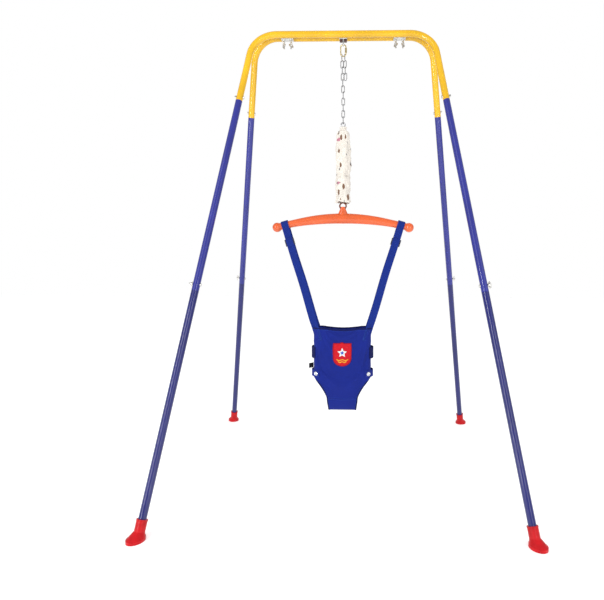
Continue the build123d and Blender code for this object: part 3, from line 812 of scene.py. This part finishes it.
def patch_base():
    """The shield itself."""
    rows, uvs = [], []
    for r in range(SHIELD_ROWS):
        z = PATCH_TOP + (PATCH_FOOT - PATCH_TOP) * (r / (SHIELD_ROWS - 1)) ** 0.9
        half = max(0.2 * MM, shield_half(min(z, PATCH_TOP)))
        across = [half * spread(c, SHIELD_COLUMNS) for c in range(SHIELD_COLUMNS)]
        rows.append([on_front(x, z, 1.7 * MM)[0] for x in across])
        uvs.append([(x, z) for x in across])
    piece = grid_object("patch_base", rows, finishes["patch_cloth"], uvs)
    thicken(piece, 1.2 * MM)
    finish_piece(piece, "harness", "patch_cloth", "emblem_patch")


def shield_border():
    """Points round the shield's edge on the seat's cloth, with their normals."""
    side = []
    for k in range(BORDER_STEPS + 1):
        z = PATCH_TOP - (PATCH_TOP - PATCH_FOOT) * (1 - (1 - k / BORDER_STEPS) ** 1.6)
        side.append((shield_half(z), z))
    top = [
        (PATCH_HALF * (1 - 2 * k / BORDER_TOP_STEPS), PATCH_TOP) for k in range(1, BORDER_TOP_STEPS)
    ]
    ring = side + [(-x, z) for x, z in reversed(side[:-1])] + [(-x, z) for x, z in top]
    placed = [on_front(x, z, 2.2 * MM) for x, z in ring]
    return [p for p, n in placed], [n for p, n in placed]


def star(name, outer, inner, lift, thickness, material):
    """A raised embroidered star."""
    rows, uvs = [], []
    count = STAR_POINTS * STAR_STEPS
    for ring in range(STAR_RINGS + 1):
        row, row_uvs = [], []
        for k in range(count):
            blend = abs(1 - (k % STAR_STEPS) / (STAR_STEPS / 2))
            reach = inner + (outer - inner) * blend
            reach = reach * (1 - 0.12 * sin(pi * blend)) * ring / STAR_RINGS
            angle = 2 * pi * k / count + pi / 2
            dome = thickness * 0.6 * (1 - (ring / STAR_RINGS) ** 2)
            row.append(on_front(reach * cos(angle), STAR_Z + reach * sin(angle), lift + dome)[0])
            row_uvs.append((reach, angle * 6 * MM))
        rows.append(row)
        uvs.append(row_uvs)
    piece = grid_object(name, rows, material, uvs, True)
    thicken(piece, thickness)
    finish_piece(piece, "harness", "patch_cloth")


patch_base()
border_points, border_normals = shield_border()
border = section_sweep(
    "patch_border", border_points, border_normals, ellipse_section(1.5 * MM, 0.9 * MM, 10),
    border_thread, closed=True,
)
finish_piece(border, "harness", "patch_cloth")
star("patch_star", 17 * MM, 7.5 * MM, 2.5 * MM, 0.9 * MM, white_thread)
star("patch_small_star", 7 * MM, 3.2 * MM, 3.5 * MM, 0.8 * MM, blue_thread)
for index, (reach, drop) in enumerate(((21 * MM, 19 * MM), (15 * MM, 26 * MM))):
    placed = []
    for k in range(BAR_POINTS):
        wave = 1.6 * MM * cos(k * pi / 6)
        placed.append(on_front(reach * spread(k, BAR_POINTS), PATCH_MIDDLE - drop + wave, 2.5 * MM))
    bar = section_sweep(
        f"patch_bar_{index}", [p for p, n in placed], [n for p, n in placed],
        ellipse_section(1.9 * MM, 0.8 * MM, 10), gold_thread,
    )
    finish_piece(bar, "harness", "patch_cloth")


def side_label():
    """Folded woven label, sewn into the left edge."""
    rows, uvs = [], []
    depth = (label_high.x - label_low.x) + LABEL_SEWN
    for r in range(LABEL_ROWS):
        row, row_uvs = [], []
        height = r / (LABEL_ROWS - 1)
        lean = (height - 0.5) * 2.2 * MM
        for c in range(LABEL_COLUMNS):
            share = c / (LABEL_COLUMNS - 1)
            fold = sin(pi * share)
            x = label_high.x + LABEL_SEWN - depth * min(share, 1 - share) * 2 * 0.98
            side = (1 if share > 0.5 else -1) * 0.55 * MM * (0.4 + 0.6 * abs(cos(pi * share)))
            z = label_low.z + (label_high.z - label_low.z) * height - 3 * MM * fold
            row.append(Vector((x, side - 11 * MM + lean * fold, z)))
            row_uvs.append((share * 2 * depth, r * MM))
        rows.append(row)
        uvs.append(row_uvs)
    piece = grid_object("side_label_cloth", rows, finishes["label_cloth"], uvs)
    thicken(piece, 0.4 * MM)
    finish_piece(piece, "harness", "label_cloth", "side_label")


side_label()


# -------- straps

STRAP_HALF = 12.5 * MM
STRAP_COLUMNS = 13
WEBBING = 1.6 * MM
LOOP_X = 201 * MM
LOOP_Z = next(j["pos_m"][2] for j in frame["joints"] if j["name"] == "harness_swing")
LOOP_RADIUS = 15.1 * MM
STRAP_FOOT = Vector((96 * MM, -28 * MM, 510 * MM))
SEWN_LENGTH = 52 * MM
SEWN_STEPS, RUN_STEPS, LOOP_STEPS = 14, 60, 14
SETTLE_HEIGHT = 26 * MM
SWAY = 1.3 * MM
BOX_STEPS = 12
FOLD_ROWS, FOLD_COLUMNS = 25, 11
FOLD_REACH = 15 * MM
FOLD_HALF = STRAP_HALF * 0.97


def strap_axes(hand):
    """The direction up a strap from the seat to the bar, and the direction across its webbing."""
    lean = atan2(LOOP_X - STRAP_FOOT.x, LOOP_Z - STRAP_FOOT.z)
    up = Vector((hand * sin(lean), 0, cos(lean)))
    return up, Vector((0, 1, 0)).cross(up)


def strap_route(hand):
    """Middle line of a strap: front foot, up, over the bar, down to the rear foot."""
    run = hypot(LOOP_X - STRAP_FOOT.x, LOOP_Z - STRAP_FOOT.z)
    up, across = strap_axes(hand)
    top = Vector((hand * LOOP_X, 0, LOOP_Z))
    route = []
    for k in range(SEWN_STEPS):
        down = SEWN_LENGTH * (1 - k / SEWN_STEPS)
        route.append(top - up * (run + down) + Vector((0, STRAP_FOOT.y, 0)))
    for k in range(RUN_STEPS):
        share = k / RUN_STEPS
        y = STRAP_FOOT.y + (-LOOP_RADIUS - STRAP_FOOT.y) * share
        sway = SWAY * sin(share * pi) * sin(share * 7.0 + hand)
        route.append(top - up * run * (1 - share) + Vector((0, y + sway * 0.4, 0)) + across * sway)
    for k in range(LOOP_STEPS + 1):
        angle = pi / 2 * k / LOOP_STEPS
        forward = Vector((0, -LOOP_RADIUS * cos(angle), 0))
        route.append(top + forward + up * LOOP_RADIUS * sin(angle))
    return route + [Vector((p.x, -p.y, p.z)) for p in reversed(route[:-1])]


def strap_surface(hand):
    """Grid of the webbing's middle surface. Its sewn ends lie inside the seat panels."""
    route = strap_route(hand)
    across = strap_axes(hand)[1]
    rows, uvs, run = [], [], 0.0
    offsets = [STRAP_HALF * spread(c, STRAP_COLUMNS) for c in range(STRAP_COLUMNS)]
    for i, point in enumerate(route):
        if i:
            run += (point - route[i - 1]).length
        row = []
        for offset in offsets:
            place = point + across * offset
            side = -1 if place.y < 0 else 1
            settle = smoothstep((SEAT_TOP + SETTLE_HEIGHT - place.z) / SETTLE_HEIGHT)
            if settle > 0:
                reach = min(abs(place.x), SEAT_EDGE - 1.0 * MM)
                place.y += (side * (shell_depth(reach) - 2.2 * MM) - place.y) * settle
            row.append(place)
        rows.append(row)
        uvs.append([(offset, run) for offset in offsets])
    return rows, uvs


for name, hand in SIDES:
    rows, uvs = strap_surface(hand)
    webbing = grid_object(f"{name}_webbing", rows, finishes["webbing"], uvs)
    thicken(webbing, WEBBING, subdivide=1)
    finish_piece(webbing, "harness", "webbing", f"{name}_strap")
    # A sewn box with a diagonal cross at each end
    for place, sewn in (("front", rows[:SEWN_STEPS]), ("rear", rows[-SEWN_STEPS:][::-1])):
        first, last = 1, STRAP_COLUMNS - 2
        corners = [sewn[1][first], sewn[1][last], sewn[-2][last], sewn[-2][first]]
        surface = surface_tree(sewn)
        side = Vector((0, -1 if place == "front" else 1, 0))
        box = corners + [corners[0], corners[2]]
        for seam_name, turns in (("box", box), ("cross", [corners[1], corners[3]])):
            line, normals = [], []
            for a, b in zip(turns, turns[1:]):
                for k in range(BOX_STEPS):
                    spot, normal, _, _ = surface.find_nearest(a.lerp(b, k / BOX_STEPS))
                    line.append(spot)
                    normals.append(normal if normal.dot(side) > 0 else -normal)
            sew(f"{name}_{place}_strap_{seam_name}", line, normals, WEBBING / 2 + 0.35 * MM)


def strap_over_buckle(name, hand):
    """The strap's fold where it comes over the buckle's bars, seen in front of the buckle."""
    low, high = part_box(f"{name}_buckle")
    centre = (low + high) / 2
    up, across = strap_axes(hand)
    offsets = [FOLD_HALF * spread(c, FOLD_COLUMNS) for c in range(FOLD_COLUMNS)]
    rows, uvs = [], []
    for r in range(FOLD_ROWS):
        along = FOLD_REACH * spread(r, FOLD_ROWS)
        bow = max(0.0, cos(pi / 2 * along / FOLD_REACH)) ** 0.6
        out = Vector((0, -1.7 * MM - 3.3 * MM * bow, 0))
        rows.append([centre + up * along + across * offset + out for offset in offsets])
        uvs.append([(offset, along) for offset in offsets])
    fold = grid_object(f"{name}_buckle_fold", rows, finishes["webbing"], uvs)
    thicken(fold, 1.4 * MM, subdivide=1)
    finish_piece(fold, f"{name}_buckle", "webbing")


for name, hand in SIDES:
    strap_over_buckle(name, hand)


# -------- spring and cover

WIRE_RADIUS = 1.6 * MM
WIRE_SIDES = 8
COIL_STEPS = 28
# Share of the sleeve's length from its top, and its mean radius there in mm
COVER_STATIONS = (
    (0.0, 12.5), (0.02, 9.5), (0.04, 12.0), (0.065, 19.0), (0.12, 22.5), (0.30, 25.0),
    (0.45, 25.5), (0.6, 24.0), (0.75, 25.0), (0.9, 24.5), (1.0, 25.5),
)
COVER_ROWS, COVER_COLUMNS = 170, 180
COVER_SEED, COVER_FOLDS = 7, 6
MOUTH_PLACE, MOUTH_SPREAD = 0.03, 0.12
COIL_CLEARANCE = 17 * MM
HEM_START = 0.9


def coil(low, high):
    """Close-wound coil: a tube along a helix."""
    radius = (spring_high.x - spring_low.x) / 2 - WIRE_RADIUS
    turns = int((high - low) / (2 * WIRE_RADIUS) - 1)
    steps = turns * COIL_STEPS
    section = [2 * pi * k / WIRE_SIDES for k in range(WIRE_SIDES)]
    rows, uvs = [], []
    for i in range(steps + 1):
        share = i / steps
        angle = 2 * pi * turns * share
        z = low + WIRE_RADIUS + (high - low - 2 * WIRE_RADIUS) * share
        centre = Vector((radius * cos(angle), radius * sin(angle), z))
        outward = Vector((cos(angle), sin(angle), 0))
        rows.append([
            centre + outward * WIRE_RADIUS * cos(t) + Vector((0, 0, WIRE_RADIUS * sin(t)))
            for t in section
        ])
        uvs.append([(k * WIRE_RADIUS, share) for k in range(WIRE_SIDES)])
    return grid_object("spring_coil", rows, finishes["spring_steel"], uvs, True)


coil_piece = coil(spring_low.z, spring_high.z)
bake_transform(coil_piece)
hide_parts("spring")


def cover_radius(share):
    """Mean radius of the sleeve at a share of its length from the top: gathered mouth, body, open hem."""
    for (a, ra), (b, rb) in zip(COVER_STATIONS, COVER_STATIONS[1:]):
        if share <= b:
            return (ra + (rb - ra) * smoothstep((share - a) / (b - a))) * MM
    return COVER_STATIONS[-1][1] * MM


def sleeve_reach(share, angle, z, folds):
    """The sleeve's radius at a point: folds that run down from the mouth, then crumples and creases."""
    pull = exp(-(((share - MOUTH_PLACE) / MOUTH_SPREAD) ** 2))
    loose = min(1.0, share / 0.25)
    wave = sum(a * sin(n * angle + p + 1.8 * sin(share * 4 + p)) for n, p, a in folds) / COVER_FOLDS
    pleat = abs(sin(5.5 * angle + 0.9 * sin(share * 7))) ** 0.7 - 0.6
    place = Vector((cos(angle) * 1.7, sin(angle) * 1.7, share * 9))
    crush = noise.noise(place) + 0.5 * noise.noise(place * 2.3)
    crease = -abs(noise.noise(place * 1.5 + Vector((7, 3, 1)))) * 2
    body = (2.6 * wave + 3.4 * crush + 2.2 * crease + 1.0) * MM * loose
    mouth = 3.6 * MM * pleat * pull * (0.25 + loose)
    reach = cover_radius(share) + body + mouth
    return max(reach, COIL_CLEARANCE) if z < spring_high.z + 2 * MM else reach


def sleeve():
    """The cloth sleeve over the spring, gathered at its mouth and open at its hem."""
    rng = random.Random(COVER_SEED)
    folds = [
        (rng.choice((3, 4, 5, 7, 9)), rng.uniform(0, 6.28), rng.uniform(0.5, 1.0))
        for _ in range(COVER_FOLDS)
    ]
    rows, uvs = [], []
    height = cover_high.z - cover_low.z
    for r in range(COVER_ROWS + 1):
        share = r / COVER_ROWS
        z = cover_high.z - height * share
        hem = max(0.0, (share - HEM_START) / (1 - HEM_START)) ** 2
        row = []
        for k in range(COVER_COLUMNS):
            angle = 2 * pi * k / COVER_COLUMNS
            reach = sleeve_reach(share, angle, z, folds)
            dip = (2.2 * sin(3 * angle + 1.0) + 1.6 * sin(5 * angle)) * MM * hem
            row.append(Vector((reach * cos(angle), reach * sin(angle), z + dip)))
        rows.append(row)
        uvs.append([(2 * pi * 25 * MM * k / COVER_COLUMNS, z) for k in range(COVER_COLUMNS)])
    piece = grid_object("spring_sleeve", rows, finishes["cover_cloth"], uvs, True)
    thicken(piece, 0.8 * MM, subdivide=1)
    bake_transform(piece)
    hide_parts("spring_cover")
    for name, share, body in (("mouth", 0.02, "spring_top"), ("hem", 0.985, "spring_bottom")):
        line, normals = [], []
        for p in rows[round(share * COVER_ROWS)]:
            out = Vector((p.x, p.y, 0)).normalized()
            line.append(out * (hypot(p.x, p.y) + 0.7 * MM) + Vector((0, 0, p.z)))
            normals.append(out)
        seam = stitches(
            f"sleeve_{name}_stitches", line + line[:1], normals + normals[:1], white_thread, 0.1 * MM
        )
        finish_piece(seam, body, "cover_cloth")


sleeve()


# -------- stage, light and camera

FLOOR_HALF = 9
FLOOR_GLOW = 0.2
# Strength of the white sky as light, as the camera sees it, and in reflections
SKY_LIGHT, SKY_SEEN, SKY_MIRRORED = 0.92, 1.0, 0.45
LIGHT_TARGET = Vector((0, 0, 0.8))
FOCAL_PIXELS = 500.0
IMAGE_WIDTH = 604.0
PRINCIPAL_X = 347.9
CAMERA_PLACE = (0.065, -1.758, 0.732)
YAW, PITCH, ROLL = radians(1.52), radians(4.25), radians(-0.19)

floor_material, floor_shader = node_tree(
    "floor", Roughness=0.9, Emission_Color=(1.0, 1.0, 1.0), Emission_Strength=FLOOR_GLOW
)
floor_cloudy = noise_texture(floor_material, mapped(floor_material), scale=1.5)
floor_tone = ramp(floor_material, floor_cloudy, [(0.3, (0.90,) * 3), (0.7, (0.94,) * 3)])
paint(floor_material, floor_shader, floor_tone)
floor_corners = [(x * FLOOR_HALF, y * FLOOR_HALF, 0) for x, y in ((-1, -1), (1, -1), (1, 1), (-1, 1))]
floor = mesh_object("floor", floor_corners, [(0, 1, 2, 3)], floor_material)


def area_light(name, place, width, height, energy):
    """An area light that faces the middle of the stand."""
    data = bpy.data.lights.new(name, "AREA")
    data.shape = "RECTANGLE"
    data.size = width
    data.size_y = height
    data.energy = energy
    lamp = bpy.data.objects.new(name, data)
    lamp.location = place
    lamp.rotation_mode = "QUATERNION"
    lamp.rotation_quaternion = (LIGHT_TARGET - Vector(place)).to_track_quat("-Z", "Y")
    scene.collection.objects.link(lamp)


area_light("key", (-2.4, -3.2, 3.4), width=2.2, height=2.2, energy=20)
area_light("fill", (3.2, -2.6, 2.0), width=2.6, height=2.6, energy=16)
area_light("left_strip", (-2.1, -3.0, 1.0), width=0.28, height=2.6, energy=60)
area_light("right_strip", (1.7, -3.4, 1.0), width=0.2, height=2.6, energy=32)
area_light("back", (0.8, 3.4, 3.2), width=2.6, height=2.6, energy=22)

world = bpy.data.worlds.new("studio")
world.use_nodes = True
sky_nodes, sky_links = world.node_tree.nodes, world.node_tree.links
background = sky_nodes["Background"]
background.inputs["Color"].default_value = (1.0, 1.0, 1.0, 1)
light_path = sky_nodes.new("ShaderNodeLightPath")
before = None
for ray, strength in (("Is Camera Ray", SKY_SEEN), ("Is Glossy Ray", SKY_MIRRORED)):
    change = sky_nodes.new("ShaderNodeMath")
    change.operation = "MULTIPLY_ADD"
    sky_links.new(light_path.outputs[ray], change.inputs[0])
    change.inputs[1].default_value = strength - SKY_LIGHT
    change.inputs[2].default_value = SKY_LIGHT
    if before:
        sky_links.new(before.outputs[0], change.inputs[2])
    before = change
sky_links.new(before.outputs[0], background.inputs["Strength"])
scene.world = world
scene.view_settings.view_transform = "Standard"

camera_data = bpy.data.cameras.new("camera")
camera_data.sensor_width = 36.0
camera_data.lens = FOCAL_PIXELS * camera_data.sensor_width / IMAGE_WIDTH
camera_data.shift_x = (IMAGE_WIDTH / 2 - PRINCIPAL_X) / IMAGE_WIDTH
camera = bpy.data.objects.new("camera", camera_data)
camera.matrix_world = (
    Matrix.Translation(CAMERA_PLACE)
    @ Matrix.Rotation(YAW, 4, "Z")
    @ Matrix.Rotation(pi / 2 - PITCH, 4, "X")
    @ Matrix.Rotation(-ROLL, 4, "Z")
)
scene.collection.objects.link(camera)
scene.camera = camera
